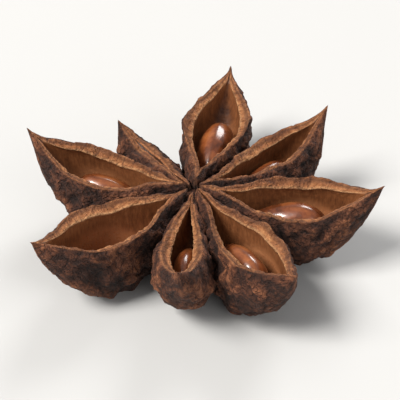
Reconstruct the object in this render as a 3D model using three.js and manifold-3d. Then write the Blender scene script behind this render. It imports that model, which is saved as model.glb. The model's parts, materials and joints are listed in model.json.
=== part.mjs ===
// A dried star anise pod lying on its keels, its split sides up. Millimetres, +Z up, the ground at Z = 0.
//
// Eight woody follicles stand round a short central column. Each is a boat: a rounded keel below, a suture
// along the top that has split open between two lips, and a beak at its outer end. A seed lies in most of
// the open ones. The follicles, the column and the stalk have grown together, so they are one solid, and
// every seed is a solid of its own.
// Every surface is a function of two parameters: one runs round a section, one along the piece.

import * as THREE from "three";
import { ParametricGeometry } from "three/addons/geometries/ParametricGeometry.js";
import { mergeVertices } from "three/addons/utils/BufferGeometryUtils.js";
import Module from "manifold-3d";

const wasm = await Module();
wasm.setup();

// ---- driving dimensions ----

const AXIS_X = -0.345; // the column's axis, from the middle of the pod's box
const AXIS_Y = -1.444;

// One row for each follicle, in order round the pod.
// turn: degrees off its even place. reach: axis to tip of beak. crest: its suture's height near the column.
// width: across the walls. gape: the opening's share of that width, 0 where it has stayed shut. lift: rise
// of the beak's tip. sway: sideways bend of the beak. lean: degrees that it leans over sideways. seed: its
// seed's length, 0 where there is none. belly: its keel's height, where the pod doesn't rest on it.
const FOLLICLES = [
  { turn: 0, reach: 15.9, crest: 6.7, width: 6.6, gape: 0.58, lift: 1.9, sway: 0.9, lean: 3, seed: 6.7 },
  { turn: 3, reach: 14.5, crest: 6.5, width: 6, gape: 0.4, lift: 2.6, sway: -0.6, lean: -5, seed: 5.9 },
  { turn: -2, reach: 16.2, crest: 6.9, width: 6.8, gape: 0.6, lift: 1.4, sway: 0.5, lean: 2, seed: 6.9 },
  { turn: 2, reach: 10.8, crest: 6.3, width: 4, gape: 0, lift: 1, sway: 0.9, lean: 6, seed: 0, belly: 2.3 },
  { turn: -4, reach: 15.3, crest: 6.8, width: 6.3, gape: 0.5, lift: 2.2, sway: -0.9, lean: -4, seed: 6.2 },
  { turn: 1, reach: 15.5, crest: 6.6, width: 6.7, gape: 0.62, lift: 1.6, sway: 0.4, lean: 2, seed: 0 },
  { turn: 4, reach: 13.4, crest: 6.4, width: 5.4, gape: 0.28, lift: 2.8, sway: 1, lean: 6, seed: 4.6, belly: 0.6 },
  { turn: -1, reach: 15.3, crest: 6.8, width: 6.5, gape: 0.54, lift: 1.8, sway: -0.5, lean: -3, seed: 6.2 },
];

const SPACING = 360 / FOLLICLES.length; // degrees from one follicle to the next
const PIT_RADIUS = 0.6; // the follicles stop this far from the axis and leave a small pit
const FUSE = 1.07; // how far neighbours grow into each other, as a share of the room between them
const SUTURE_SAG = 0.3; // how far a suture dips on its way out
const WALL = 0.75; // thickness of a follicle's wall
const KEEL_WALL = 0.83; // and along its keel
const WRINKLE = 0.36; // height of the coarse wrinkles on the outside
const RUFFLE = 0.22; // how far a lip wavers up and down

// The rest of a follicle's form, in shares of its length, from 0 at the column to 1 at the tip of the beak.
const ROOT = 0.08; // its walls reach their full spread here
const MIDDLE = 0.5; // it is deepest and widest here
const KEEL_END = { end: 0.99, power: 0.62 }; // where the keel and the walls would close without a beak,
const WALL_END = { end: 0.97, power: 0.8 }; // and how blunt they are there
const PARTING = { middle: 0.53, reach: 0.41, power: 0.9 }; // the stretch where the lips have parted
const HOLLOW = { middle: 0.52, reach: 0.37, power: 0.3 }; // the stretch that is hollow
const SMOOTH_ROOT = 0.28; // the wrinkles reach their full height here

// The beak's depth and half width are these, times the length still to go to this power.
const BEAK_DEPTH = 3.4;
const BEAK_WIDTH = 1.8;
const BEAK_TAPER = 0.6;

// The two lips, shut and where they have parted most: shares of the half width and of the depth.
const SLIT = 0.04; // half the crack between them while they are shut
const LIP = { shut: 0.16, parted: 0.3 }; // width of a lip's face
const LIP_SLOPE = { shut: 0.03, parted: 0.09 }; // how far the face slopes down inwards

const COLUMN_RADIUS = 1.9;
const COLUMN_FOOT = 1.6; // the column's underside, above the ground
const COLUMN_TOP = 5.7;

const SEED_PLACE = 0.5; // share of the follicle's length at the seed's middle
const SEED_PITCH = 5; // degrees that a seed's outer end is tipped up
const SEED_HEIGHT = 0.62; // a seed's height and thickness, as shares of its length
const SEED_THICKNESS = 0.48;
const SEED_TAPER = 0.17; // how much slimmer its end by the column is
const SEED_GAP = 0.65; // under its middle, so that its ends clear the rising floor too

// The stalk leaves the column's foot and bends away: distance from the axis, height above the ground.
const STALK_TURN = 137; // degrees round the axis, under the stunted follicle
const STALK_PATH = new THREE.CubicBezierCurve(
  new THREE.Vector2(0, 2.8),
  new THREE.Vector2(0.3, 0.8),
  new THREE.Vector2(3.2, 0.6),
  new THREE.Vector2(8.2, 1.3),
);
const STALK_RADIUS = 0.6;
const STALK_FLARE = 0.9; // how much thicker it is where it joins the column
const STALK_KNOB = 0.1; // and at its broken end

// steps round half a follicle's section (outside, lip, inside) and along the follicle
const OUTER_STEPS = 9;
const LIP_STEPS = 1;
const INNER_STEPS = 5;
const LENGTH_STEPS = 20;

const HALF_STEPS = OUTER_STEPS + LIP_STEPS + INNER_STEPS;
const LIP_START = OUTER_STEPS / HALF_STEPS;
const LIP_END = (OUTER_STEPS + LIP_STEPS) / HALF_STEPS;

const { lerp, clamp, degToRad } = THREE.MathUtils;

// ---- curves ----

// 0 at t = 0, rising steeply and rounding off to 1 at peak.
const swell = (t, peak) => (1 - Math.max(0, (peak - t) / peak) ** 2.4) ** (1 / 2.4);

// 1 up to the middle of the length, then falling to 0 at end.
const fall = (t, { end, power }) =>
  Math.max(0, 1 - Math.max(0, (t - MIDDLE) / (end - MIDDLE)) ** 2) ** power;

// 1 at middle, 0 from reach away on.
const bump = (t, { middle, reach, power }) => Math.max(0, 1 - ((t - middle) / reach) ** 2) ** power;

const softMax = (a, b) => (a ** 3 + b ** 3) ** (1 / 3);
const softMin = (a, b) => (a ** -4 + b ** -4) ** -0.25;

// Coarse wrinkles, from about -1 to 1: three warped waves that cross each other.
function wrinkle(x, y, z) {
  const a = Math.sin(1.9 * x + 1.7 * Math.sin(0.9 * z + 0.7 * y));
  const b = Math.sin(2 * z + 1.4 * Math.sin(1.2 * x - 0.6 * y) + 1);
  const c = Math.sin(1.7 * y + 1.2 * Math.sin(0.9 * x + 1.1 * z) + 2);
  return 0.6 * a * b + 0.35 * b * c + 0.35 * a * c + 0.2 * a;
}

// A lip's unevenness along its length, from -1 to 1.
const waver = (x, phase) => 0.6 * Math.sin(1.15 * x + phase) + 0.4 * Math.sin(2.3 * x + 1.7 * phase);

// ---- a follicle that lies along +X from the axis, section by section ----

const sutureHeight = (f, t) =>
  f.crest - SUTURE_SAG * Math.sin(Math.PI * t) + f.lift * (0.6 * t ** 3 + 0.4 * t ** 9);

// Half the angle to the next follicle on one side, as a slope: the room that the two share.
function wedgeOf(index, side) {
  const count = FOLLICLES.length;
  const neighbour = FOLLICLES[(index + side + count) % count];
  const apart = SPACING + side * (neighbour.turn - FOLLICLES[index].turn);
  return FUSE * Math.tan(degToRad(apart / 2));
}

// The section at t, on the side (1 or -1) of the suture.
function sectionOf(index, t, side) {
  const f = FOLLICLES[index];
  const x = PIT_RADIUS + (f.reach - PIT_RADIUS) * t;
  const top = sutureHeight(f, t);
  const deepest = sutureHeight(f, MIDDLE) - (f.belly ?? 0);
  const beak = (1 - t) ** BEAK_TAPER;
  const depth = swell(t, MIDDLE) * softMax(deepest * fall(t, KEEL_END), BEAK_DEPTH * beak);
  const body = softMax((f.width / 2) * fall(t, WALL_END), BEAK_WIDTH * beak);
  const half = swell(t, ROOT) * softMin(wedgeOf(index, side) * x, body);
  const parted = f.gape > 0 ? bump(t, PARTING) : 0;
  return {
    x,
    top,
    depth,
    half,
    keel: top - depth,
    opening: half * (SLIT + f.gape * parted), // half the opening, between the lips' inner edges
    lip: half * lerp(LIP.shut, LIP.parted, parted),
    slope: depth * lerp(LIP_SLOPE.shut, LIP_SLOPE.parted, parted),
    hollow: f.gape > 0 ? bump(t, HOLLOW) : 0,
    bend: f.sway * t ** 3,
  };
}

// A point of the section at t. q runs from 0 at the keel, up the outside, over the lip, and down the inside
// to 1 at the hollow's floor.
function folliclePoint(index, t, q, side) {
  const s = sectionOf(index, t, side);
  const rim = s.opening + s.lip;
  const phase = 7 * index;
  const fade = swell(t, SMOOTH_ROOT) * (1 - t ** 4);
  let y;
  let z;
  if (q <= LIP_START) {
    const p = q / LIP_START;
    const bulge = Math.sin(Math.PI * p) ** 0.8;
    y = p < 0.5 ? s.half * bulge : rim + (s.half - rim) * bulge;
    z = s.keel + (s.depth * (1 - Math.cos(Math.PI * p))) / 2;
    const push = WRINKLE * fade * (1 - p ** 6) * wrinkle(s.x + phase, side * y, z);
    const outY = y / Math.max(s.half, 1e-3);
    const outZ = (2 * (z - s.keel)) / Math.max(s.depth, 1e-3) - 1;
    const out = Math.max(Math.hypot(outY, outZ), 1e-3);
    y += ((push * outY) / out) * Math.min(1, s.half);
    z += (push * outZ) / out;
  } else if (q < LIP_END) {
    const p = (q - LIP_START) / (LIP_END - LIP_START);
    y = lerp(rim, s.opening, p);
    z = s.top - s.slope * p;
  } else {
    const p = Math.min(1, (q - LIP_END) / (1 - LIP_END));
    const bulge = Math.sin(Math.PI * p) ** 0.8;
    const inner = lerp(0.03 * s.half, Math.max(s.half - WALL, 0), s.hollow);
    const brim = s.top - s.slope;
    const floor = lerp(brim - 0.03 * s.depth, s.keel + KEEL_WALL, s.hollow);
    y = p < 0.5 ? s.opening + (inner - s.opening) * bulge : inner * bulge;
    z = lerp(brim, floor, (1 - Math.cos(Math.PI * p)) / 2);
  }
  const nearLip = bump(q, { middle: (LIP_START + LIP_END) / 2, reach: 0.2, power: 2 });
  z += RUFFLE * fade * nearLip * waver(s.x, phase + side);
  return new THREE.Vector3(s.x, s.bend + side * y, z);
}

// ---- from surfaces to solids ----

// A closed surface as a solid: its seam and poles are merged, and the triangles that shrank there dropped.
function solidFrom(geometry) {
  for (const name of ["normal", "uv"]) geometry.deleteAttribute(name);
  const merged = mergeVertices(geometry, 1e-4);
  const corners = [];
  for (let i = 0; i < merged.index.count; i += 3) {
    const [a, b, c] = [0, 1, 2].map((k) => merged.index.getX(i + k));
    if (a !== b && b !== c && c !== a) corners.push(a, b, c);
  }
  const vertProperties = merged.attributes.position.array;
  const build = (triVerts) => new wasm.Manifold(new wasm.Mesh({ numProp: 3, vertProperties, triVerts }));
  const solid = build(new Uint32Array(corners));
  return solid.volume() > 0 ? solid : build(new Uint32Array(corners).reverse());
}

// A solid of the surface point(around, along), which closes on itself round and shrinks to a point at each
// end, in the place that a matrix gives it.
function sweptSolid(point, place, aroundSteps, alongSteps) {
  const surface = (around, along, target) =>
    target.copy(point(around % 1, clamp(along, 0, 1)).applyMatrix4(place));
  return solidFrom(new ParametricGeometry(surface, aroundSteps, alongSteps));
}

function geometryOf(solid) {
  const mesh = solid.getMesh();
  const geometry = new THREE.BufferGeometry();
  geometry.setAttribute("position", new THREE.BufferAttribute(mesh.vertProperties, 3));
  geometry.setIndex(new THREE.BufferAttribute(mesh.triVerts, 1));
  geometry.computeVertexNormals();
  return geometry;
}

// ---- places round the column ----

const columnPlace = new THREE.Matrix4().makeTranslation(AXIS_X, AXIS_Y, 0);

// Leans a follicle, with its seed, about its suture, and turns it to its place round the column.
function folliclePlace(index) {
  const { turn, lean, crest } = FOLLICLES[index];
  return columnPlace
    .clone()
    .multiply(new THREE.Matrix4().makeRotationZ(degToRad(index * SPACING + turn)))
    .multiply(new THREE.Matrix4().makeTranslation(0, 0, crest))
    .multiply(new THREE.Matrix4().makeRotationX(degToRad(lean)))
    .multiply(new THREE.Matrix4().makeTranslation(0, 0, -crest));
}

// ---- the pod's pieces ----

function follicleSolid(index) {
  const point = (around, along) => {
    const side = around < 0.5 ? 1 : -1;
    const q = 2 * Math.min(around, 1 - around);
    return folliclePoint(index, along, q, side);
  };
  return sweptSolid(point, folliclePlace(index), 2 * HALF_STEPS, LENGTH_STEPS);
}

// The column that carries the follicles: a post with a small knob in the pit at its top.
function columnSolid() {
  const profile = [
    [0, COLUMN_FOOT],
    [0.7 * COLUMN_RADIUS, COLUMN_FOOT + 0.1],
    [COLUMN_RADIUS, COLUMN_FOOT + 0.8],
    [COLUMN_RADIUS, COLUMN_TOP - 1],
    [0.6 * COLUMN_RADIUS, COLUMN_TOP - 0.4],
    [0.3 * COLUMN_RADIUS, COLUMN_TOP],
    [0, COLUMN_TOP + 0.1],
  ];
  const geometry = new THREE.LatheGeometry(profile.map(([r, z]) => new THREE.Vector2(r, z)), 24);
  geometry.rotateX(Math.PI / 2);
  return solidFrom(geometry.applyMatrix4(columnPlace));
}

// The stalk: a round section along its path, thick at the column and rounded off where it broke.
function stalkSolid() {
  const turn = new THREE.Matrix4().makeRotationZ(degToRad(STALK_TURN));
  const point = (around, along) => {
    const at = STALK_PATH.getPoint(along);
    const way = STALK_PATH.getTangent(along);
    const girth = STALK_RADIUS + STALK_FLARE * (1 - along) ** 4 + STALK_KNOB * along ** 6;
    const radius = girth * swell(along, 0.05) * swell(1 - along, 0.08);
    const across = radius * Math.cos(2 * Math.PI * around);
    const over = radius * Math.sin(2 * Math.PI * around);
    return new THREE.Vector3(at.x - over * way.y, across, at.y + over * way.x);
  };
  return sweptSolid(point, columnPlace.clone().multiply(turn), 10, 14);
}

// A seed: an egg flattened from side to side, lying lengthwise in the hollow.
function seedSolid(index) {
  const length = FOLLICLES[index].seed;
  const s = sectionOf(index, SEED_PLACE, 1);
  const height = s.keel + KEEL_WALL + SEED_GAP + (SEED_HEIGHT * length) / 2;
  const place = folliclePlace(index)
    .multiply(new THREE.Matrix4().makeTranslation(s.x, s.bend, height))
    .multiply(new THREE.Matrix4().makeRotationY(-degToRad(SEED_PITCH)));
  const point = (around, along) => {
    const inward = Math.cos(Math.PI * along);
    const ring = (length / 2) * Math.sin(Math.PI * along) ** 0.9 * (1 - SEED_TAPER * inward);
    const turn = 2 * Math.PI * around;
    return new THREE.Vector3(
      (-length / 2) * inward,
      SEED_THICKNESS * ring * Math.cos(turn),
      SEED_HEIGHT * ring * Math.sin(turn),
    );
  };
  return sweptSolid(point, place, 12, 9);
}

// Cuts off what reaches below the ground, so that the pod stands on small flats of its lowest keels.
function levelled(solid) {
  const slab = new THREE.BoxGeometry(100, 100, 10).translate(0, 0, -5);
  return solid.subtract(solidFrom(slab));
}

// Fills the hollows that growing together has sealed, and drops loose scraps.
const wholeOf = (solid) => solid.decompose().reduce((a, b) => (a.volume() > b.volume() ? a : b));

const husk = new THREE.MeshStandardMaterial({ color: 0x5e3825, roughness: 0.85 });
const seedCoat = new THREE.MeshStandardMaterial({ color: 0x6f3d1c, roughness: 0.25 });

function named(name, solid, material) {
  const mesh = new THREE.Mesh(geometryOf(solid), material);
  mesh.name = name;
  return mesh;
}

const follicles = FOLLICLES.map((_, index) => follicleSolid(index));
const grown = [columnSolid(), stalkSolid(), ...follicles].reduce((whole, next) => whole.add(next));

const group = new THREE.Group();
group.add(named("pod", wholeOf(levelled(grown)), husk));
FOLLICLES.forEach(({ seed }, index) => {
  if (seed > 0) group.add(named(`seed_${index + 1}`, seedSolid(index), seedCoat));
});

export default group;
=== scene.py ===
import json
import math

import bpy
import numpy as np
from mathutils import Matrix, Vector

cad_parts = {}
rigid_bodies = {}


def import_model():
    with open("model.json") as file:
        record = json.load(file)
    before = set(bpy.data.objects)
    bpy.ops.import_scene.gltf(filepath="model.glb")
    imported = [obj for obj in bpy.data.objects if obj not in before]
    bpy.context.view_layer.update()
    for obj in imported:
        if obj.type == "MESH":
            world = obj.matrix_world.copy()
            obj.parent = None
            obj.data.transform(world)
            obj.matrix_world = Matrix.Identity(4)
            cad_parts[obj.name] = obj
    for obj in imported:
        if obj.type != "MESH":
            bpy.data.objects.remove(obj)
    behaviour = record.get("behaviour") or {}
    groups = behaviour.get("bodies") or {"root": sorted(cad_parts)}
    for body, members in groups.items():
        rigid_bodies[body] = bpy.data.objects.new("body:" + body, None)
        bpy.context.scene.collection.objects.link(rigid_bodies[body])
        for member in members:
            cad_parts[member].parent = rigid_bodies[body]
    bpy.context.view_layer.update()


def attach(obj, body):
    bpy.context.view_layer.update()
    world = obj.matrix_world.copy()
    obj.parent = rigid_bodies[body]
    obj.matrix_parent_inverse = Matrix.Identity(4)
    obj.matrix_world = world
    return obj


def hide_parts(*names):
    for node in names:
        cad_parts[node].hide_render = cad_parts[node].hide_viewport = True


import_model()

# ---- Husk ----------------------------------------------------------------------------------------------
# The woody wall of the fruit: eight boat-shaped follicles, grown together round a short column on a bent
# stalk. Each split along its top as it ripened, into two lips over a smooth lining, then dried and
# wrinkled. It is one piece. Lengths are in millimetres.

MM = 0.001

# turn: degrees off its even place. reach: axis to tip. crest: the suture's height by the column. width:
# across its walls. gape: the opening's share of that. seed: its seed's length. lift and sway: the tip's rise
# and sideways bend. lean: degrees. belly: how much its keel clears the ground. shade: paler or darker.
FOLLICLES = [
    dict(turn=0, reach=15.9, crest=6.7, width=6.6, gape=0.58, seed=6.7,
         lift=1.9, sway=0.9, lean=3, belly=0, shade=0.2),
    dict(turn=3, reach=14.5, crest=6.5, width=6.0, gape=0.4, seed=5.9,
         lift=2.6, sway=-0.6, lean=-5, belly=0, shade=-0.5),
    dict(turn=-2, reach=16.2, crest=6.9, width=6.8, gape=0.6, seed=6.9,
         lift=1.4, sway=0.5, lean=2, belly=0, shade=0.6),
    dict(turn=2, reach=10.8, crest=6.3, width=4.0, gape=0, seed=0,
         lift=1.0, sway=0.9, lean=6, belly=2.3, shade=-0.7),
    dict(turn=-4, reach=15.3, crest=6.8, width=6.3, gape=0.5, seed=6.2,
         lift=2.2, sway=-0.9, lean=-4, belly=0, shade=0),
    dict(turn=1, reach=15.5, crest=6.6, width=6.7, gape=0.62, seed=0,
         lift=1.6, sway=0.4, lean=2, belly=0, shade=-0.3),
    dict(turn=4, reach=13.4, crest=6.4, width=5.4, gape=0.28, seed=4.6,
         lift=2.8, sway=1.0, lean=6, belly=0.6, shade=0.8),
    dict(turn=-1, reach=15.3, crest=6.8, width=6.5, gape=0.54, seed=6.2,
         lift=1.8, sway=-0.5, lean=-3, belly=0, shade=0.1),
]
SPACING = 360 / len(FOLLICLES)

# Where the column stands, how wide the pit round its top is, and how far past halfway a follicle grows into
# the next one.
AXIS = (-0.345, -1.444)
PIT_RADIUS = 0.6
FUSE = 1.07

# The wall's thickness at the sides and over the keel, the beak's depth, half width and taper, and how far the
# suture sags between the column and the tip.
WALL = 0.75
KEEL_WALL = 0.83
BEAK_DEPTH = 3.4
BEAK_WIDTH = 1.8
BEAK_TAPER = 0.6
SUTURE_SAG = 0.3

# Shares of a follicle's length, from 0 at the column to 1 at its tip, with the powers that round them: where
# its walls are fully swollen, fall off to the beak and part along the suture, and where it is hollow inside.
SWELL_POWER = 2.4
ROOT = 0.08
MIDDLE = 0.5
KEEL_END = dict(end=0.99, power=0.62)
WALL_END = dict(end=0.97, power=0.8)
PARTING = dict(middle=0.53, reach=0.41, power=0.9)
HOLLOW = dict(middle=0.52, reach=0.37, power=0.3)

# Shares of the way round half a section, from the keel outside, over the lip, to the floor inside.
LIP_START = 0.6
LIP_END = 2 / 3
LIP_MIDDLE = (LIP_START + LIP_END) / 2

# How full a section's sides are. The slit, the lips and their slope are shares of the half width and of the
# depth, where the follicle is shut and where it parts, and so is the room that a shut one has inside.
FULLNESS = 0.8
SLIT = 0.04
LIP = (0.16, 0.3)
LIP_SLOPE = (0.03, 0.09)
SHUT_ROOM = 0.03

# The coarse wrinkles' height, where along the follicle they reach it, and how far the lips waver up and down.
# Each follicle's are a step further along the waves. No measure is divided by less than LEAST_SIZE.
WRINKLE = 0.36
SMOOTH_ROOT = 0.28
RUFFLE = 0.22
BY_LIP = dict(middle=LIP_MIDDLE, reach=0.2, power=2)
WAVE_STEP = 7
LEAST_SIZE = 1e-3


def swell(t, peak):
    """(1 - ((peak - t) / peak)^power)^(1 / power) up to peak, and 1 beyond it."""
    return (1 - np.maximum(0, (peak - t) / peak) ** SWELL_POWER) ** (1 / SWELL_POWER)


def fall(t, end, power):
    """1 up to the middle, then (1 - share^2)^power, where share goes from 0 at the middle to 1 at end."""
    return np.maximum(0, 1 - np.maximum(0, (t - MIDDLE) / (end - MIDDLE)) ** 2) ** power


def bump(t, middle, reach, power):
    """(1 - ((t - middle) / reach)^2)^power within reach of the middle, and 0 beyond it."""
    return np.maximum(0, 1 - ((t - middle) / reach) ** 2) ** power


def rise(t, low, high):
    """0 below low, 1 above high, and 3s^2 - 2s^3 between them."""
    s = np.clip((t - low) / (high - low), 0, 1)
    return s * s * (3 - 2 * s)


def lerp(a, b, t):
    """A straight line from a, where t is 0, to b, where it is 1."""
    return a + (b - a) * t


def soft_greater(a, b):
    """(a^3 + b^3)^(1 / 3): the greater of two sizes, rounded where they cross."""
    return (a**3 + b**3) ** (1 / 3)


def soft_lesser(a, b):
    """(a^-4 + b^-4)^(-1 / 4): the lesser of two sizes, rounded where they cross."""
    return (a**-4 + b**-4) ** -0.25


def wrinkle(x, y, z):
    """Coarse wrinkles, from about -1 to 1: three warped sine waves that cross each other."""
    a = np.sin(1.9 * x + 1.7 * np.sin(0.9 * z + 0.7 * y))
    b = np.sin(2 * z + 1.4 * np.sin(1.2 * x - 0.6 * y) + 1)
    c = np.sin(1.7 * y + 1.2 * np.sin(0.9 * x + 1.1 * z) + 2)
    return 0.6 * a * b + 0.35 * b * c + 0.35 * a * c + 0.2 * a


def waver(x, phase):
    """A lip's unevenness along its length, from -1 to 1: two sine waves."""
    return 0.6 * np.sin(1.15 * x + phase) + 0.4 * np.sin(2.3 * x + 1.7 * phase)


def suture_height(f, t):
    """crest - sag sin(pi t) + lift (0.6 t^3 + 0.4 t^9)."""
    return f["crest"] - SUTURE_SAG * np.sin(np.pi * t) + f["lift"] * (0.6 * t**3 + 0.4 * t**9)


def wedge_of(index, side):
    """The slope of half the angle to the next follicle on one side: the room that the two share."""
    neighbour = FOLLICLES[(index + side) % len(FOLLICLES)]
    apart = SPACING + side * (neighbour["turn"] - FOLLICLES[index]["turn"])
    return FUSE * math.tan(math.radians(apart / 2))


def section_of(index, t, side):
    """A follicle's measures at t, on one side of its suture.

    Depth and half width are each the softer greater of a hull that falls off past the middle and a beak that
    tapers as (1 - t)^taper. Near the column the half width is the room that the neighbours leave.
    """
    f = FOLLICLES[index]
    x = PIT_RADIUS + (f["reach"] - PIT_RADIUS) * t
    top = suture_height(f, t)
    beak = (1 - t) ** BEAK_TAPER
    hull = (suture_height(f, MIDDLE) - f["belly"]) * fall(t, **KEEL_END)
    depth = swell(t, MIDDLE) * soft_greater(hull, BEAK_DEPTH * beak)
    body = soft_greater(f["width"] / 2 * fall(t, **WALL_END), BEAK_WIDTH * beak)
    room = np.where(side > 0, wedge_of(index, 1), wedge_of(index, -1)) * x
    half = swell(t, ROOT) * soft_lesser(room, body)
    is_open = f["gape"] > 0
    parted = bump(t, **PARTING) * is_open
    return dict(
        x=x,
        top=top,
        depth=depth,
        half=half,
        keel=top - depth,
        opening=half * (SLIT + f["gape"] * parted),
        lip=half * lerp(*LIP, parted),
        slope=depth * lerp(*LIP_SLOPE, parted),
        parted=parted,
        hollow=bump(t, **HOLLOW) * is_open,
        bend=f["sway"] * t**3,
    )


def follicle_surface(index, t, q, side):
    """The boat before it wrinkled finely: at each t a section, which q follows from the keel to the floor.

    Outside, y = half sin(pi p)^fullness and z = keel + depth (1 - cos(pi p)) / 2, pushed outwards by the
    coarse wrinkles, which fade by the column, as 1 - t^4 to the tip and as 1 - p^6 to the lip. The lip is a
    straight slope. The inside is the same curve, a wall's thickness further in.
    """
    s = section_of(index, t, side)
    rim = s["opening"] + s["lip"]
    phase = WAVE_STEP * index
    fade = swell(t, SMOOTH_ROOT) * (1 - t**4)

    p = np.clip(q / LIP_START, 0, 1)
    bulge = np.sin(np.pi * p) ** FULLNESS
    outer_y = np.where(p < 0.5, s["half"] * bulge, rim + (s["half"] - rim) * bulge)
    outer_z = s["keel"] + s["depth"] * (1 - np.cos(np.pi * p)) / 2
    push = WRINKLE * fade * (1 - p**6) * wrinkle(s["x"] + phase, side * outer_y, outer_z)
    out_y = outer_y / np.maximum(s["half"], LEAST_SIZE)
    out_z = 2 * (outer_z - s["keel"]) / np.maximum(s["depth"], LEAST_SIZE) - 1
    out = np.maximum(np.hypot(out_y, out_z), LEAST_SIZE)
    outer_y = outer_y + push * out_y / out * np.minimum(1, s["half"])
    outer_z = outer_z + push * out_z / out

    p = np.clip((q - LIP_START) / (LIP_END - LIP_START), 0, 1)
    lip_y = lerp(rim, s["opening"], p)
    lip_z = s["top"] - s["slope"] * p

    p = np.clip((q - LIP_END) / (1 - LIP_END), 0, 1)
    bulge = np.sin(np.pi * p) ** FULLNESS
    inner = lerp(SHUT_ROOM * s["half"], np.maximum(s["half"] - WALL, 0), s["hollow"])
    brim = s["top"] - s["slope"]
    floor = lerp(brim - SHUT_ROOM * s["depth"], s["keel"] + KEEL_WALL, s["hollow"])
    inner_y = np.where(p < 0.5, s["opening"] + (inner - s["opening"]) * bulge, inner * bulge)
    inner_z = lerp(brim, floor, (1 - np.cos(np.pi * p)) / 2)

    outside, inside = q <= LIP_START, q >= LIP_END
    y = np.where(outside, outer_y, np.where(inside, inner_y, lip_y))
    z = np.where(outside, outer_z, np.where(inside, inner_z, lip_z))
    z = z + RUFFLE * fade * bump(q, **BY_LIP) * waver(s["x"], phase + side)
    return np.stack([np.broadcast_to(s["x"], z.shape), s["bend"] + side * y, z], axis=-1)


# The finer relief is made of noises: sums of plane waves, whose lengths lie about the one that is given.
WAVE_COUNT = 28
WAVE_SPREAD = (0.75, 1.4)


def waves(points, wavelength, draw):
    """Smooth noise of mean 0 and spread 1: a sum of plane waves, whose directions a numbered draw gives."""
    random = np.random.default_rng(draw)
    ways = random.normal(size=(WAVE_COUNT, 3))
    ways *= 2 * np.pi / np.linalg.norm(ways, axis=1, keepdims=True)
    ways /= wavelength * random.uniform(*WAVE_SPREAD, size=(WAVE_COUNT, 1))
    phases = random.uniform(0, 2 * np.pi, size=WAVE_COUNT)
    return np.cos(points @ ways.T + phases).sum(-1) * math.sqrt(2 / WAVE_COUNT)


# Where the noises are read. Shares under 1 draw the points together along X, Y or Z, which draws the relief
# out that way, and a step for each follicle makes them all different. The warp bends the wall's noises.
WALL_PLACE = dict(shares=(0.8, 1, 1), step=(31, 0, 0))
PLEAT_PLACE = dict(shares=(0.28, 1, 1), step=(0, 0, 13))
RIM_PLACE = dict(shares=(1, 0.2, 0.2), step=(0, 0, 17))
WARP = 0.4
WARP_WAVES = [dict(wavelength=2.2, draw=5), dict(wavelength=2.4, draw=6), dict(wavelength=2.0, draw=7)]

# How far the drying wall moved in or out, layer by layer. A middle is taken off, so that a layer adds next to
# nothing on the whole. Chips start where their noise is 0.9, and are at their deepest from 1.9.
BULGES = dict(height=0.16, top=1.6, middle=0.75, wavelength=3.8, draw=11)
VEINS = dict(height=0.18, width=0.36, middle=0.2, wavelength=2.3, draw=12)
NET = dict(height=0.13, width=0.42, middle=0.2, wavelength=1.2, draw=13)
PLEATS = dict(height=0.19, width=0.42, middle=0.3, wavelength=1.25, draw=19)
CREASES = dict(height=0.15, width=0.15, middle=0, wavelength=2.7, draw=14)
GRAIN = 0.042
GRAIN_WAVES = dict(wavelength=0.55, draw=15)
CUT_WAVES = dict(wavelength=0.5, draw=18)
CHIPS = 0.14
CHIP_WAVES = dict(wavelength=2.2, draw=16)
CHIP_RANGE = (0.9, 1.9)
NICKS = 0.05
NICK_WAVES = dict(wavelength=1.0, draw=17)

# Where on the wall, as shares of the way round: the pleats, the rim's bites, the grain of the cut, the last
# of the outside, and the stretch beside the rim, which calms the relief and, a little less, its painted
# shading. Along the wall all is at its full height from FINE_ROOT. The painted shading, painted shade in the
# relief's hollows and painted highlights on its ridges, is full where the relief is as high as the last
# value.
UPPER_WALL = dict(middle=LIP_START - 0.14, reach=0.28, power=1)
ON_RIM = dict(middle=LIP_START, reach=0.04, power=1)
ON_LIP = dict(middle=LIP_MIDDLE, reach=0.06, power=1)
UNDER_RIM = (LIP_START - 0.03, LIP_START)
BESIDE_RIM = dict(middle=LIP_START, reach=0.2, power=1.5)
RIM_CALM = 0.5
RIM_SHADING_CALM = 0.4
FINE_ROOT = 0.12
FULL_SHADING_HEIGHT = 0.18

# The smooth seat that a seed has pressed into the lining: its depth, and its middle and reach, as shares of
# the length and of the way round. Its edge starts at a share of the way out.
SEAT = 0.05
SEAT_MIDDLE = 0.52
SEAT_REACH = (0.29, 0.23)
SEAT_EDGE = 0.84


def ridged(points, height, width, middle, **noise):
    """height (exp(-(noise / width)^2) - middle): narrow ridges where a noise passes through 0."""
    return height * (np.exp(-((waves(points, **noise) / width) ** 2)) - middle)


def bulged(points, height, top, middle, **noise):
    """height (the lesser of |noise| and top, less middle): bulges with sharp valleys between them."""
    return height * (np.minimum(np.abs(waves(points, **noise)), top) - middle)


def reading_place(points, index, shares, step):
    """points shares + index step: where a follicle's noise is read."""
    return points * shares + index * np.array(step)


def softened(grid):
    """Each value's mean with its neighbours round the ring and then along, weighted 1, 2, 1 both times."""
    grid = (np.roll(grid, 1, 0) + 2 * grid + np.roll(grid, -1, 0)) / 4
    grid[:, 1:-1] = (grid[:, :-2] + 2 * grid[:, 1:-1] + grid[:, 2:]) / 4
    return grid


def seed_seat(t, q):
    """1 on an oval of the lining, 0 off it: 1 - rise(distance from its middle, as a share of its reach)."""
    away = np.hypot((t - SEAT_MIDDLE) / SEAT_REACH[0], (1 - q) / SEAT_REACH[1])
    return 1 - rise(away, SEAT_EDGE, 1)


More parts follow.
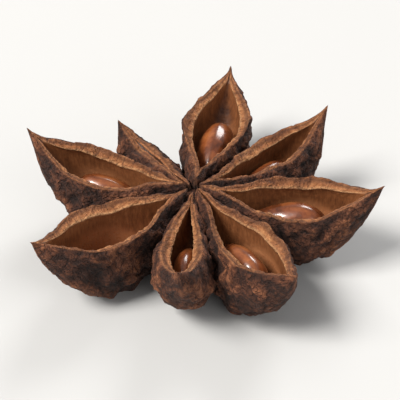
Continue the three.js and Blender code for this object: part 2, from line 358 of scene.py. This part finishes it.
def follicle_relief(points, index, t, q):
    """How far the dried wall stands in or out of the boat, and the same as painted shading from -1 to 1:
    painted shade in its hollows and a painted highlight on its ridges.

    Bulges, veins and a net of finer ridges are noises that are read at warped points. Pleats are ridges that
    run along the upper wall. All are softened, then cut by narrow creases and covered with a low grain. They
    weaken towards the rim, where shallow chips and nicks bite into its edge, and fade by the column and as
    1 - t^6 to the tip. The cut lip and the lining stay nearly smooth, but for the seed's seat.
    """
    at = reading_place(points, index, **WALL_PLACE)
    at = at + WARP * np.stack([waves(at, **noise) for noise in WARP_WAVES], axis=-1)
    height = bulged(at, **BULGES) + ridged(at, **VEINS) + ridged(at, **NET)
    height += bump(q, **UPPER_WALL) * ridged(reading_place(points, index, **PLEAT_PLACE), **PLEATS)
    height = softened(softened(height))
    height = height - ridged(at, **CREASES) + GRAIN * waves(at, **GRAIN_WAVES)

    along_rim = reading_place(points, index, **RIM_PLACE)
    chips = CHIPS * rise(waves(along_rim, **CHIP_WAVES), *CHIP_RANGE)
    nicks = NICKS * np.abs(waves(along_rim, **NICK_WAVES))
    grain = GRAIN * bump(q, **ON_LIP) * waves(points, **CUT_WAVES)
    cut = grain - bump(q, **ON_RIM) * (chips + nicks) - SEAT * seed_seat(t, q)

    by_rim = bump(q, **BESIDE_RIM)
    outside = 1 - rise(q, *UNDER_RIM)
    fade = swell(t, FINE_ROOT) * (1 - t**6)
    # Painted shading from the relief: painted shade in its hollows, painted highlights on its ridges.
    tone = np.clip(outside * (1 - RIM_SHADING_CALM * by_rim) * height / FULL_SHADING_HEIGHT, -1, 1)
    return fade * (outside * (1 - RIM_CALM * by_rim) * height + cut), tone


# No normal is divided by less than this.
LEAST_LENGTH = 1e-9


def grid_normals(points):
    """The unit cross product of a grid's two directions, round and along."""
    around = np.roll(points, -1, 0) - np.roll(points, 1, 0)
    along = np.gradient(points, axis=1)
    normals = np.cross(around, along)
    return normals / np.maximum(np.linalg.norm(normals, axis=2, keepdims=True), LEAST_LENGTH)


def placed(points, place):
    """Points turned and moved by a matrix."""
    matrix = np.array(place)
    return points @ matrix[:3, :3].T + matrix[:3, 3]


def round_angles(sides):
    """The angles of a ring's points, one row for each."""
    return np.linspace(0, 2 * np.pi, sides, endpoint=False)[:, None]


def ring_shares(gap, count):
    """Where rings lie along a piece, in one row: evenly from gap to 1 - gap, with its points at 0 and 1."""
    return np.linspace(gap, 1 - gap, count)[None, :]


# The flat map that patterns can be drawn on: a cell for each follicle, in two columns, and one each for the
# column and the stalk above them. A cell is its left, bottom, width and height. A seed has a map of its own.
FLAT_MAP = "OFBake"
WHOLE_MAP = (0, 0, 1, 1)
CELL_MARGIN = 0.004
CELL_WIDTH = 1 / 2
CELL_HEIGHT = 0.23
TOP_ROW = len(FOLLICLES) // 2 * CELL_HEIGHT


def flat_corners(around, along, cell):
    """Where the corners of a closed mesh's faces lie on the flat map, in the order of closed_mesh's faces.

    Across is the share of the way round, and up is the share of the way along. The triangles of a fan each
    stand on their ring's edge, with the fan's point halfway across.
    """
    across, up = np.meshgrid(np.arange(around), np.arange(1, along), indexing="ij")
    quads = np.stack([across, up, across + 1, up, across + 1, up + 1, across, up + 1], -1)
    left = np.arange(around)
    foot = np.zeros(around)
    top = foot + along
    first = np.stack([left + 0.5, foot, left + 1, foot + 1, left, foot + 1], -1)
    last = np.stack([left, top, left + 1, top, left + 0.5, top + 1], -1)
    corners = np.concatenate([faces.reshape(-1, 2) for faces in (quads, first, last)])
    corner, size = np.array(cell[:2]), np.array(cell[2:])
    return corner + CELL_MARGIN + corners / (around, along + 1) * (size - 2 * CELL_MARGIN)


def closed_mesh(name, rings, start, end, cell=WHOLE_MAP, **values):
    """A closed mesh in metres: quads between neighbouring rings, and a fan from each end ring to its point.

    Its flat map lays it out over a cell of the map. Each of values is a number for every grid point, kept as
    a point attribute. An end takes its ring's mean.
    """
    around, along = rings.shape[:2]
    points = np.concatenate([rings.reshape(-1, 3), [start, end]]) * MM
    here = np.arange(around * along).reshape(around, along)
    beside = np.roll(here, -1, 0)
    quads = np.stack([here[:, :-1], beside[:, :-1], beside[:, 1:], here[:, 1:]], -1).reshape(-1, 4)
    first = np.stack([np.full(around, here.size), beside[:, 0], here[:, 0]], -1)
    last = np.stack([here[:, -1], beside[:, -1], np.full(around, here.size + 1)], -1)
    mesh = bpy.data.meshes.new(name)
    mesh.from_pydata(points.tolist(), [], [*quads.tolist(), *first.tolist(), *last.tolist()])

    corners = flat_corners(around, along, cell).astype(np.float32)
    mesh.uv_layers.new(name=FLAT_MAP).uv.foreach_set("vector", corners.ravel())
    for key, value in values.items():
        grid = np.broadcast_to(value, (around, along))
        column = np.concatenate([grid.ravel(), [grid[:, 0].mean(), grid[:, -1].mean()]])
        mesh.attributes.new(key, "FLOAT", "POINT").data.foreach_set("value", column.astype(np.float32))
    return mesh


# How finely a follicle is drawn. Its steps crowd at the keel and at the beak.
OUTER_STEPS = 46
LIP_STEPS = 8
INNER_STEPS = 16
LENGTH_STEPS = 80
LENGTH_CROWDING = 0.85

# Below this height the relief dies out, down to where the keel is pressed flat on the ground.
PRESSED = 0.7

# Where the material changes, as shares of the way round: the lip's cut face, the dark rind at its outer edge,
# the pale shell at its inner edge, and the start of the lining. The lips look shut up to the first share of
# their parting, and open from the second. FIBRE_STEP keeps the fibres of one follicle's lining unlike the
# next one's, and FIBRE_DEPTH is about the way round half a section.
CUT_FACE = dict(middle=LIP_MIDDLE, reach=0.075, power=0.5)
RIND = dict(middle=LIP_START + 0.012, reach=0.024, power=1)
SHELL = dict(middle=LIP_END - 0.004, reach=0.014, power=1)
LINING = (LIP_END, LIP_END + 0.03)
SHUT_TO_OPEN = (0.05, 0.35)
FIBRE_STEP = 50
FIBRE_DEPTH = 20


def follicle_place(index):
    """Leans a follicle about its suture, then turns it to its place round the column."""
    f = FOLLICLES[index]
    return (
        Matrix.Translation((*AXIS, 0))
        @ Matrix.Rotation(math.radians(index * SPACING + f["turn"]), 4, "Z")
        @ Matrix.Translation((0, 0, f["crest"]))
        @ Matrix.Rotation(math.radians(f["lean"]), 4, "X")
        @ Matrix.Translation((0, 0, -f["crest"]))
    )


def follicle_mesh(index):
    """The boat, moved along its normals by its relief, which dies out where the keel lies on the ground.

    Its attributes tell the material where the lip, its dark rind, its pale shell, the lining and the seed's
    seat are, where the lips are shut, which gets painted shade in its slit, the painted shading that follows
    the relief's height, how near the beak a point lies, and how far along and how far down the section it is.
    """
    f = FOLLICLES[index]
    share = np.linspace(0, 1, OUTER_STEPS, endpoint=False)
    outer = LIP_START * (share + share**2) / 2
    lip = np.linspace(LIP_START, LIP_END, LIP_STEPS, endpoint=False)
    half = np.concatenate([outer, lip, np.linspace(LIP_END, 1, INNER_STEPS + 1)])
    q = np.concatenate([half, half[-2:0:-1]])[:, None]
    side = np.where(np.arange(len(q)) < len(half), 1, -1)[:, None]
    t = np.linspace(0, 1, LENGTH_STEPS + 2)[None, 1:-1] ** LENGTH_CROWDING

    rings = softened(softened(follicle_surface(index, t, q, side)))
    height, tone = follicle_relief(rings, index, t, q)
    place = follicle_place(index)
    rings = placed(rings, place)
    height = height * rise(rings[:, :, 2], 0, PRESSED)
    rings = rings + grid_normals(rings) * height[:, :, None]
    rings[:, :, 2] = np.maximum(rings[:, :, 2], 0)

    shut = 1 - rise(section_of(index, t, side)["parted"], *SHUT_TO_OPEN)
    return closed_mesh(
        f"follicle_{index + 1}",
        rings,
        placed(np.array([PIT_RADIUS, 0, f["crest"]]), place),
        placed(np.array([f["reach"], f["sway"], f["crest"] + f["lift"]]), place),
        (index % 2 * CELL_WIDTH, index // 2 * CELL_HEIGHT, CELL_WIDTH, CELL_HEIGHT),
        grown=1.0,
        tone=tone,
        shade=f["shade"],
        lip=bump(q, **CUT_FACE),
        rind=bump(q, **RIND),
        shell=bump(q, **SHELL) * (1 - shut),
        shut=shut,
        lining=rise(q, *LINING),
        seat=seed_seat(t, q),
        beak=t**3,
        along=(f["reach"] * t + FIBRE_STEP * index) * MM,
        down=FIBRE_DEPTH * q * MM,
    )


# The column, the flower's old axis, is a post that the follicles hide but for its top, down in the pit. Its
# profile is pairs of radius and height. Its lumps are a share of its radius, and set its painted shading:
# lighter on the lumps, darker in the dents between them.
COLUMN = np.array([(1.33, 1.7), (1.9, 2.4), (1.9, 4.7), (1.14, 5.3), (0.57, 5.7)])
COLUMN_FOOT = 1.6
COLUMN_TOP = 5.8
COLUMN_RINGS = 25
COLUMN_SIDES = 48
COLUMN_LUMPS = 0.04
COLUMN_WAVES = dict(wavelength=1.1, draw=21)
COLUMN_SHADING = 0.4


def column_mesh():
    """A profile of radius and height turned about the axis, with its radius uneven by a noise."""
    corner = np.arange(len(COLUMN))
    u = np.linspace(0, corner[-1], COLUMN_RINGS)
    radius, height = (np.interp(u, corner, values)[None, :] for values in COLUMN.T)
    angle = round_angles(COLUMN_SIDES)
    rings = np.stack([radius * np.cos(angle), radius * np.sin(angle), height + 0 * angle], -1)
    noise = waves(rings, **COLUMN_WAVES)
    rings[:, :, :2] *= 1 + COLUMN_LUMPS * noise[:, :, None]
    ends = (*AXIS, COLUMN_FOOT), (*AXIS, COLUMN_TOP)
    cell = (0, TOP_ROW, CELL_WIDTH, 1 - TOP_ROW)
    # Painted shading: lighter where the lumps stand out, darker where they sink in.
    tone = COLUMN_SHADING * np.clip(noise, -1, 1)
    return closed_mesh("husk", rings + (*AXIS, 0), *ends, cell, grown=1.0, tone=tone)


# The stalk bends away below the column, in the direction that its turn gives in degrees. Its path is the four
# points of a curve, as pairs of way out and height. Its flutes are a share of its radius, and set its painted
# shading: lighter on their crests, darker in their grooves.
STALK_TURN = 137
STALK_PATH = np.array([(0, 2.8), (0.3, 0.8), (3.2, 0.6), (8.2, 1.3)])
STALK_RADIUS = 0.6
STALK_FLARE = 0.9
STALK_KNOB = 0.1
STALK_FLUTES = 0.07
STALK_SHADING = 0.35
STALK_LUMPS = 0.05
STALK_WAVES = dict(wavelength=0.8, draw=22)

# Shares of the stalk's length: where its two ends round off, where it turns pale, as it broke off the twig
# there, and how near its rings come to its ends.
STALK_ROUNDING = (0.05, 0.08)
STALK_BREAK = (0.972, 0.985)
STALK_GAP = 0.004
STALK_RINGS = 70
STALK_SIDES = 32


def stalk_mesh():
    """Round sections across a cubic Bezier.

    The radius flares by (1 - s)^4 at the column, swells by s^6 to a knob at the end, and is fluted by two
    sine waves that wind round it.
    """
    s = ring_shares(STALK_GAP, STALK_RINGS)
    a, b, c, d = STALK_PATH[:, :, None, None]
    x, z = (1 - s) ** 3 * a + 3 * (1 - s) ** 2 * s * b + 3 * (1 - s) * s**2 * c + s**3 * d
    way_x, way_z = (1 - s) ** 2 * (b - a) + 2 * (1 - s) * s * (c - b) + s**2 * (d - c)
    speed = np.hypot(way_x, way_z)
    angle = round_angles(STALK_SIDES)
    flutes = np.sin(5 * angle + 2 * np.sin(9 * s)) + 0.6 * np.sin(9 * angle - 7 * s)
    radius = (STALK_RADIUS + STALK_FLARE * (1 - s) ** 4 + STALK_KNOB * s**6) * (1 + STALK_FLUTES * flutes)
    radius = radius * swell(s, STALK_ROUNDING[0]) * swell(1 - s, STALK_ROUNDING[1])
    over = radius * np.sin(angle)
    rings = np.stack([x - over * way_z / speed, radius * np.cos(angle), z + over * way_x / speed], -1)
    rings = rings + STALK_LUMPS * waves(rings, **STALK_WAVES)[:, :, None] * grid_normals(rings)
    place = Matrix.Translation((*AXIS, 0)) @ Matrix.Rotation(math.radians(STALK_TURN), 4, "Z")
    ends = [placed(np.array([end[0], 0, end[1]]), place) for end in (STALK_PATH[0], STALK_PATH[-1])]
    cell = (CELL_WIDTH, TOP_ROW, CELL_WIDTH, 1 - TOP_ROW)
    # Painted shading: lighter on the flutes' crests, darker in their grooves.
    looks = dict(tone=STALK_SHADING * flutes, lip=rise(s, *STALK_BREAK))
    return closed_mesh("stalk", placed(rings, place), *ends, cell, grown=1.0, **looks)


# All ten are joined into one skin.
husk = bpy.data.objects.new("husk", column_mesh())
bpy.context.scene.collection.objects.link(husk)
grown_on = bpy.data.collections.new("grown_on")
bpy.context.scene.collection.children.link(grown_on)
for mesh in [stalk_mesh(), *map(follicle_mesh, range(len(FOLLICLES)))]:
    grown_on.objects.link(bpy.data.objects.new(mesh.name, mesh))
join = husk.modifiers.new("join", "BOOLEAN")
join.operation = "UNION"
join.operand_type = "COLLECTION"
join.collection = grown_on
join.solver = "MANIFOLD"
bpy.context.view_layer.objects.active = husk
bpy.ops.object.modifier_apply(modifier="join")
for part in list(grown_on.objects):
    bpy.data.objects.remove(part)
bpy.data.collections.remove(grown_on)

# Where two flanks touch and part again, small closed pockets come loose. Only the whole husk is kept.
bpy.ops.object.select_all(action="DESELECT")
husk.select_set(True)
bpy.ops.object.mode_set(mode="EDIT")
bpy.ops.mesh.separate(type="LOOSE")
bpy.ops.object.mode_set(mode="OBJECT")
*pockets, husk = sorted(bpy.context.selected_objects, key=lambda piece: len(piece.data.vertices))
for pocket in pockets:
    bpy.data.objects.remove(pocket)
husk.name = husk.data.name = "husk"
husk.data.shade_smooth()


def point_values(mesh, key):
    """An attribute's values as an array, one for each point."""
    values = np.zeros(len(mesh.vertices), np.float32)
    mesh.attributes[key].data.foreach_get("value", values)
    return values


# All points of the ten are marked as grown. The ones that the join made have 0 there. They lie deep in the
# folds between the follicles, and get the darkest painted shade.
tone = point_values(husk.data, "tone")
tone[point_values(husk.data, "grown") < 0.5] = -1
husk.data.attributes["tone"].data.foreach_set("value", tone)

# Colours are red, green and blue from 0 to 255, as a screen shows them. In a list each has its level.
WALL_COLOURS = [
    (0.05, (27, 14, 9)),
    (0.32, (57, 31, 20)),
    (0.56, (92, 53, 34)),
    (0.8, (138, 86, 56)),
    (1.0, (170, 120, 84)),
]
FACE_COLOURS = [(0.25, (98, 57, 33)), (0.5, (151, 95, 57)), (0.75, (186, 130, 84))]
LINING_COLOURS = [(0.0, (71, 40, 23)), (0.3, (121, 74, 44)), (0.6, (161, 109, 70))]
SEAT_COLOURS = [(0.35, (137, 83, 50)), (0.65, (170, 113, 75))]
RIND_COLOUR = (76, 43, 26)
SHELL_COLOUR = (196, 150, 106)
CRACK_COLOUR = (62, 34, 21)
# Painted shade for the narrow slit of a shut follicle.
SHUT_SLIT_SHADE = (48, 27, 17)

# The lining's fibres are drawn out down the wall: their noise is read at this share of the way down.
FIBRE_STRETCH = 0.16


def screen_colour(colour):
    """A colour as a screen shows it, made linear by the sRGB formula, with an alpha of 1."""
    share = np.array(colour) / 255
    return (*np.where(share <= 0.04045, share / 12.92, ((share + 0.055) / 1.055) ** 2.4), 1.0)


def new_material(name):
    """A material, its node tree and its surface shader."""
    material = bpy.data.materials.new(name)
    material.use_nodes = True
    return material, material.node_tree, material.node_tree.nodes["Principled BSDF"]


def add(tree, kind, inputs, **settings):
    """A new node with its settings. inputs gives each input, by name or number, its value or its link."""
    node = tree.nodes.new(kind)
    for key, value in settings.items():
        setattr(node, key, value)
    for key, value in inputs.items():
        if isinstance(value, bpy.types.NodeSocket):
            tree.links.new(value, node.inputs[key])
        else:
            node.inputs[key].default_value = value
    return node


def object_place(tree):
    """A point's place on its object."""
    return add(tree, "ShaderNodeTexCoord", {}).outputs["Object"]


def attribute(tree, name):
    """One of the mesh's own numbers for each point."""
    return add(tree, "ShaderNodeAttribute", {}, attribute_name=name).outputs["Fac"]


def maths(tree, operation, a, b=0.0, c=0.0):
    """One step of arithmetic."""
    return add(tree, "ShaderNodeMath", {0: a, 1: b, 2: c}, operation=operation).outputs[0]


def level(tree, start, *terms):
    """start + the sum of weight (value - middle), for terms of value, middle and weight."""
    total = start - sum(middle * weight for _, middle, weight in terms)
    for value, _, weight in terms:
        total = maths(tree, "MULTIPLY_ADD", value, weight, total)
    return total


def cloudy(tree, where, size, detail, rough):
    """Noise from 0 to 1 about 0.5, with patches of about a size in metres."""
    inputs = {"Vector": where, "Scale": 1 / size, "Detail": detail, "Roughness": rough}
    return add(tree, "ShaderNodeTexNoise", inputs).outputs["Fac"]


def veined(tree, where, size, narrowness):
    """1 - narrowness |noise - 0.5|, or 0 where that is less: narrow ridges where a cloudy noise is 0.5."""
    noise = cloudy(tree, where, size, detail=2.0, rough=0.5)
    away = maths(tree, "ABSOLUTE", maths(tree, "SUBTRACT", noise, 0.5))
    return maths(tree, "MAXIMUM", maths(tree, "MULTIPLY_ADD", away, -narrowness, 1.0), 0.0)


def ramp(tree, value, stops):
    """A run of colours, each at a value, and blended between them."""
    node = add(tree, "ShaderNodeValToRGB", {"Fac": value})
    elements = node.color_ramp.elements
    while len(elements) < len(stops):
        elements.new(0.5)
    for element, (position, colour) in zip(elements, stops):
        element.position = position
        element.color = screen_colour(colour)
    return node.outputs["Color"]


def covered(tree, share, under, over):
    """One colour under another, which covers a share of it."""
    return add(tree, "ShaderNodeMix", {0: share, 6: under, 7: over}, data_type="RGBA").outputs[2]


def tinted(tree, value, strength, under, colour):
    """A colour under another, which covers strength value of it."""
    return covered(tree, maths(tree, "MULTIPLY", value, strength), under, screen_colour(colour))


def husk_material():
    """Dark red-brown wall, rust on its veins; tan lips; amber lining; painted shade, near black in folds and
    creases, darker down the lining and in shut slits; painted highlights on ridges.
    """
    material, tree, surface = new_material("husk")
    where = object_place(tree)
    tone, shade, beak = (attribute(tree, name) for name in ("tone", "shade", "beak"))
    lip, lining, seat, down = (attribute(tree, name) for name in ("lip", "lining", "seat", "down"))
    patches = cloudy(tree, where, size=0.004, detail=4.0, rough=0.55)
    flecks = cloudy(tree, where, size=0.0004, detail=5.0, rough=0.7)
    veins = veined(tree, where, size=0.0011, narrowness=9.0)
    skin = level(tree, 1.0, (lip, 0, -0.5), (lining, 0, -1.0))
    # Creases are narrow dents of the bump, and the colour darkens them with painted shade.
    creases = maths(tree, "MULTIPLY", veined(tree, where, size=0.0006, narrowness=13.0), skin)
    stains = ((shade, 0, 0.05), (patches, 0.5, 0.22), (flecks, 0.5, 0.7))
    # Painted shade darkens the wall in the bump's creases, in the relief's hollows and where the join met;
    # painted highlights lighten the relief's ridges and, over their rust, the raised veins. The beak is
    # paler.
    painted_shading_and_beak_tint = ((tone, 0, 0.27), (veins, 0, 0.1), (creases, 0.2, -0.14), (beak, 0, 0.1))
    wall = ramp(tree, level(tree, 0.33, *stains, *painted_shading_and_beak_tint), WALL_COLOURS)

    stretched = maths(tree, "MULTIPLY", down, FIBRE_STRETCH)
    sheet = add(tree, "ShaderNodeCombineXYZ", {"X": attribute(tree, "along"), "Y": stretched}).outputs[0]
    fibres = cloudy(tree, where, size=0.0004, detail=4.0, rough=0.65)
    face = ramp(tree, level(tree, 0.5, (fibres, 0.5, 1.0), (patches, 0.5, 0.6)), FACE_COLOURS)
    face = tinted(tree, attribute(tree, "rind"), 0.7, face, RIND_COLOUR)
    face = tinted(tree, attribute(tree, "shell"), 0.6, face, SHELL_COLOUR)
    face = tinted(tree, veined(tree, sheet, size=0.0014, narrowness=40.0), 0.6, face, CRACK_COLOUR)

    streaks = cloudy(tree, sheet, size=0.00035, detail=4.0, rough=0.6)
    hairs = cloudy(tree, sheet, size=0.00014, detail=3.0, rough=0.65)
    threads = ((streaks, 0.5, 0.55), (hairs, 0.5, 0.5), (patches, 0.5, 0.35))
    # Painted shade: the lining darkens further down into the hollow.
    inside = ramp(tree, level(tree, 0.98, (down, 0, -45.0), *threads), LINING_COLOURS)
    polished = ramp(tree, patches, SEAT_COLOURS)
    inside = covered(tree, maths(tree, "MULTIPLY", seat, 0.75), inside, polished)
    # Painted shade in the narrow slit where the lips are shut.
    inside = tinted(tree, attribute(tree, "shut"), 0.85, inside, SHUT_SLIT_SHADE)

    colour = covered(tree, lining, covered(tree, lip, wall, face), inside)
    tree.links.new(colour, surface.inputs["Base Color"])
    dullness = level(tree, 0.8, (lining, 0, -0.4), (seat, 0, -0.12), (flecks, 0.5, 0.15))
    tree.links.new(dullness, surface.inputs["Roughness"])
    surface.inputs["Specular IOR Level"].default_value = 0.3

    fine = cloudy(tree, where, size=0.00022, detail=4.0, rough=0.7)
    fibred = maths(tree, "MULTIPLY", lining, hairs)
    pits = ((fine, 0, 1.2), (flecks, 0, 2.0), (creases, 0, -0.8), (fibred, 0, 3.0))
    relief = level(tree, 0.0, (veins, 0, 0.9), *pits)
    smoothed = level(tree, 1.0, (lining, 0, -0.85))
    rough = add(tree, "ShaderNodeBump", {"Strength": smoothed, "Distance": 0.00016, "Height": relief})
    tree.links.new(rough.outputs["Normal"], surface.inputs["Normal"])
    return material


# The join leaves an empty material slot behind.
husk.data.materials.clear()
husk.data.materials.append(husk_material())
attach(husk, "root")
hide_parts("pod")

# ---- Seeds ---------------------------------------------------------------------------------------------
# Hard, glossy seeds that six of the open follicles still hold, one each, standing on edge on the lining.
# They are flattened eggs, with a low seam over the top and a pale scar, the hilum, at the end by the column.

# The share of the follicle's length at which a seed stands, its pitch in degrees, and how far its middle is
# clear of the lining.
SEED_PLACE = 0.5
SEED_PITCH = 5
SEED_GAP = 0.65

# Its height and thickness, as shares of its length, how blunt its ends are, and how much one tapers.
SEED_HEIGHT = 0.62
SEED_THICKNESS = 0.48
SEED_FULLNESS = 0.9
SEED_TAPER = 0.17

# The seam's height as a share of the radius, its half width in radians, and the share of the length that it
# takes to rise at either end. The scar fades out between two shares of the length.
SEED_SEAM = 0.016
SEAM_WIDTH = 0.1
SEAM_ENDS = 0.3
HILUM = (0.1, 0.17)

# The coat's low lumps, which a step makes different from seed to seed, and how finely a seed is drawn.
SEED_LUMPS = 0.03
SEED_WAVES = dict(wavelength=2.6, draw=31)
LUMP_STEP = 9
SEED_RINGS = 56
SEED_SIDES = 72
SEED_END_GAP = 0.008

COAT_COLOURS = [(0.3, (64, 30, 15)), (0.5, (110, 56, 27)), (0.7, (146, 85, 44))]
SEED_SEAM_COLOUR = (60, 28, 14)
HILUM_COLOUR = (196, 160, 118)


def seed_mesh(index):
    """Rings of radius sin(pi s)^fullness (1 - taper cos(pi s)) along the seed, flattened from the sides."""
    length = FOLLICLES[index]["seed"]
    at = section_of(index, np.array(SEED_PLACE), 1)
    height = at["keel"] + KEEL_WALL + SEED_GAP + SEED_HEIGHT * length / 2
    s = ring_shares(SEED_END_GAP, SEED_RINGS)
    angle = round_angles(SEED_SIDES)
    x = -length / 2 * np.cos(np.pi * s) + 0 * angle
    ring = length / 2 * np.sin(np.pi * s) ** SEED_FULLNESS * (1 - SEED_TAPER * np.cos(np.pi * s))
    seam = np.exp(-(((angle - np.pi / 2) / SEAM_WIDTH) ** 2)) * swell(s, SEAM_ENDS) * swell(1 - s, SEAM_ENDS)
    ring = ring * (1 + SEED_SEAM * seam)
    rings = np.stack([x, SEED_THICKNESS * ring * np.cos(angle), SEED_HEIGHT * ring * np.sin(angle)], -1)
    lumps = SEED_LUMPS * waves(rings + LUMP_STEP * index, **SEED_WAVES)
    rings = rings + lumps[:, :, None] * grid_normals(rings)
    place = (
        follicle_place(index)
        @ Matrix.Translation((float(at["x"]), float(at["bend"]), float(height)))
        @ Matrix.Rotation(-math.radians(SEED_PITCH), 4, "Y")
    )
    ends = [placed(np.array([x, 0, 0]), place) for x in (-length / 2, length / 2)]
    hilum = 1 - rise(s, *HILUM)
    return closed_mesh(f"glossy_seed_{index + 1}", placed(rings, place), *ends, hilum=hilum, seam=seam)


def seed_material():
    """Chestnut seed coat, clouded darker, under a clear gloss."""
    material, tree, surface = new_material("seed_coat")
    where = object_place(tree)
    clouds = cloudy(tree, where, size=0.0022, detail=3.0, rough=0.55)
    flecks = cloudy(tree, where, size=0.0003, detail=4.0, rough=0.6)
    coat = ramp(tree, level(tree, 0.5, (clouds, 0.5, 1.0), (flecks, 0.5, 0.3)), COAT_COLOURS)
    coat = tinted(tree, attribute(tree, "seam"), 0.5, coat, SEED_SEAM_COLOUR)
    colour = covered(tree, attribute(tree, "hilum"), coat, screen_colour(HILUM_COLOUR))
    tree.links.new(colour, surface.inputs["Base Color"])
    tree.links.new(level(tree, 0.28, (clouds, 0.5, 0.2)), surface.inputs["Roughness"])
    surface.inputs["Coat Weight"].default_value = 0.5
    surface.inputs["Coat Roughness"].default_value = 0.12
    dents = add(tree, "ShaderNodeBump", {"Strength": 0.15, "Distance": 0.0001, "Height": flecks})
    tree.links.new(dents.outputs["Normal"], surface.inputs["Normal"])
    return material


seed_coat = seed_material()
for index, f in enumerate(FOLLICLES):
    if f["seed"]:
        mesh = seed_mesh(index)
        mesh.materials.append(seed_coat)
        mesh.shade_smooth()
        seed = bpy.data.objects.new(mesh.name, mesh)
        bpy.context.scene.collection.objects.link(seed)
        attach(seed, "root")
        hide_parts(f"seed_{index + 1}")

# ---- Table, light and camera ---------------------------------------------------------------------------
# A plain, pale, round laminate table top under three large soft lamps and a studio glow that pales towards
# the horizon. The camera looks down at the pod from the front. From here on lengths are in metres.

TABLE_RADIUS = 0.9
TABLE_CORNERS = 96
LAMINATE_COLOUR = (180, 179, 177)

turns = round_angles(TABLE_CORNERS)
edge = TABLE_RADIUS * np.concatenate([np.cos(turns), np.sin(turns), 0 * turns], 1)
table_mesh = bpy.data.meshes.new("table_top")
table_mesh.from_pydata(edge.tolist(), [], [tuple(range(TABLE_CORNERS))])
table_top = bpy.data.objects.new("table_top", table_mesh)
bpy.context.scene.collection.objects.link(table_top)
laminate, _, laminate_surface = new_material("table_top")
laminate_surface.inputs["Base Color"].default_value = screen_colour(LAMINATE_COLOUR)
laminate_surface.inputs["Roughness"].default_value = 0.8
laminate_surface.inputs["Specular IOR Level"].default_value = 0.2
table_mesh.materials.append(laminate)


def soft_lamp(name, place, size, power, colour):
    """A square area light that faces the pod."""
    light = bpy.data.lights.new(name, "AREA")
    light.size = size
    light.energy = power
    light.color = colour
    lamp = bpy.data.objects.new(name, light)
    bpy.context.scene.collection.objects.link(lamp)
    lamp.location = place
    lamp.rotation_euler = (-Vector(place)).to_track_quat("-Z", "Y").to_euler()


soft_lamp("key", place=(-0.55, -0.4, 0.85), size=0.45, power=20, colour=(1.0, 0.985, 0.96))
soft_lamp("fill", place=(0.8, -0.64, 0.56), size=0.8, power=4.5, colour=(0.97, 0.985, 1.0))
soft_lamp("back", place=(0.2, 0.88, 0.64), size=0.48, power=8, colour=(1.0, 1.0, 1.0))

# The studio's glow, by the height of the way that is looked in: 0 at the horizon, and 1 straight up.
GLOW_COLOURS = [(0.0, (240, 240, 241)), (0.3, (158, 158, 159))]

world = bpy.data.worlds.new("studio")
bpy.context.scene.world = world
world.use_nodes = True
studio = world.node_tree
way = add(studio, "ShaderNodeTexCoord", {}).outputs["Generated"]
up = add(studio, "ShaderNodeSeparateXYZ", {"Vector": way}).outputs["Z"]
glow = ramp(studio, up, GLOW_COLOURS)
studio.links.new(glow, studio.nodes["Background"].inputs["Color"])

# The camera's way round from the front and up, its lens in millimetres, the nearest that it sees, and what it
# looks at from how far away.
AZIMUTH = math.radians(12)
ELEVATION = math.radians(40)
LENS = 100
NEAREST = 0.005
DISTANCE = 0.0965
TARGET = Vector((0, -0.0004, 0.0042))

camera = bpy.data.cameras.new("camera")
camera.lens = LENS
camera.clip_start = NEAREST
level_share, height_share = math.cos(ELEVATION), math.sin(ELEVATION)
back = Vector((math.sin(AZIMUTH) * level_share, -math.cos(AZIMUTH) * level_share, height_share))
eye = bpy.data.objects.new("camera", camera)
bpy.context.scene.collection.objects.link(eye)
eye.location = TARGET + back * DISTANCE
eye.rotation_euler = (-back).to_track_quat("-Z", "Y").to_euler()
bpy.context.scene.camera = eye
bpy.context.scene.view_settings.view_transform = "Standard"
